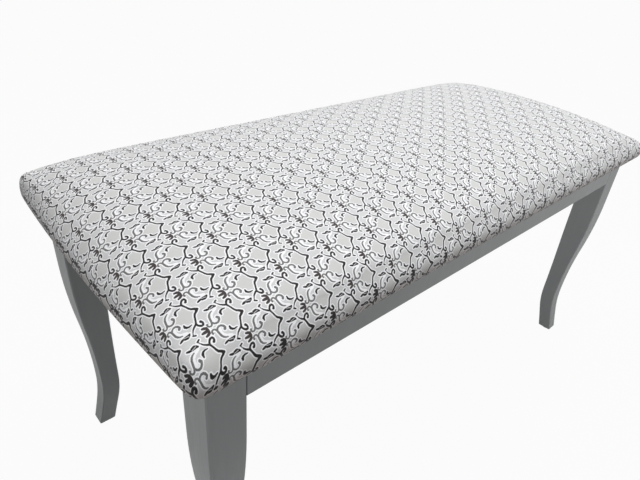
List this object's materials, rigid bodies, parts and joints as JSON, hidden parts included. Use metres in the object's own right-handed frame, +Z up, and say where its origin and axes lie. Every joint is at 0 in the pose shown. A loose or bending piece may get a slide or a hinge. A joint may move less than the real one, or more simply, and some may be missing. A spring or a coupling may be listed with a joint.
{
  "type": "upholstered bench seat",
  "caption": "Long bench seat with a crowned, fabric-covered pad on a slim painted wooden frame and tapering S-curved legs.",
  "frame": {"origin": "on the floor, under the middle of the bench", "axes": "+X along the bench, +Y from the front to the back, +Z up"},
  "size_m": [0.98, 0.4382, 0.5138],
  "materials": {
    "frame_paint": "satin blue-grey paint on wood",
    "bare_wood": "bare planed wood",
    "glide_plastic": "matt",
    "foam": "soft filling",
    "cover_fabric": "woven jacquard",
    "dust_cloth": "thin non-woven cloth",
    "fastener_steel": "plated"
  },
  "bodies": {
    "root": {"leg_front_left": "frame_paint", "leg_front_right": "frame_paint", "leg_back_left": "frame_paint", "leg_back_right": "frame_paint", "rail_front": "frame_paint", "rail_back": "frame_paint", "rail_left": "frame_paint", "rail_right": "frame_paint", "cross_rail": "bare_wood", "corner_block_front_left": "bare_wood", "corner_block_front_right": "bare_wood", "corner_block_back_left": "bare_wood", "corner_block_back_right": "bare_wood", "floor_glides": "glide_plastic", "seat_board": "bare_wood", "foam_pad": "foam", "wadding": "foam", "seat_cover": "cover_fabric", "hem_staples": "fastener_steel", "dust_cover": "dust_cloth", "dust_cover_staples": "fastener_steel", "seat_screws": "fastener_steel"}
  },
  "joints": []
}
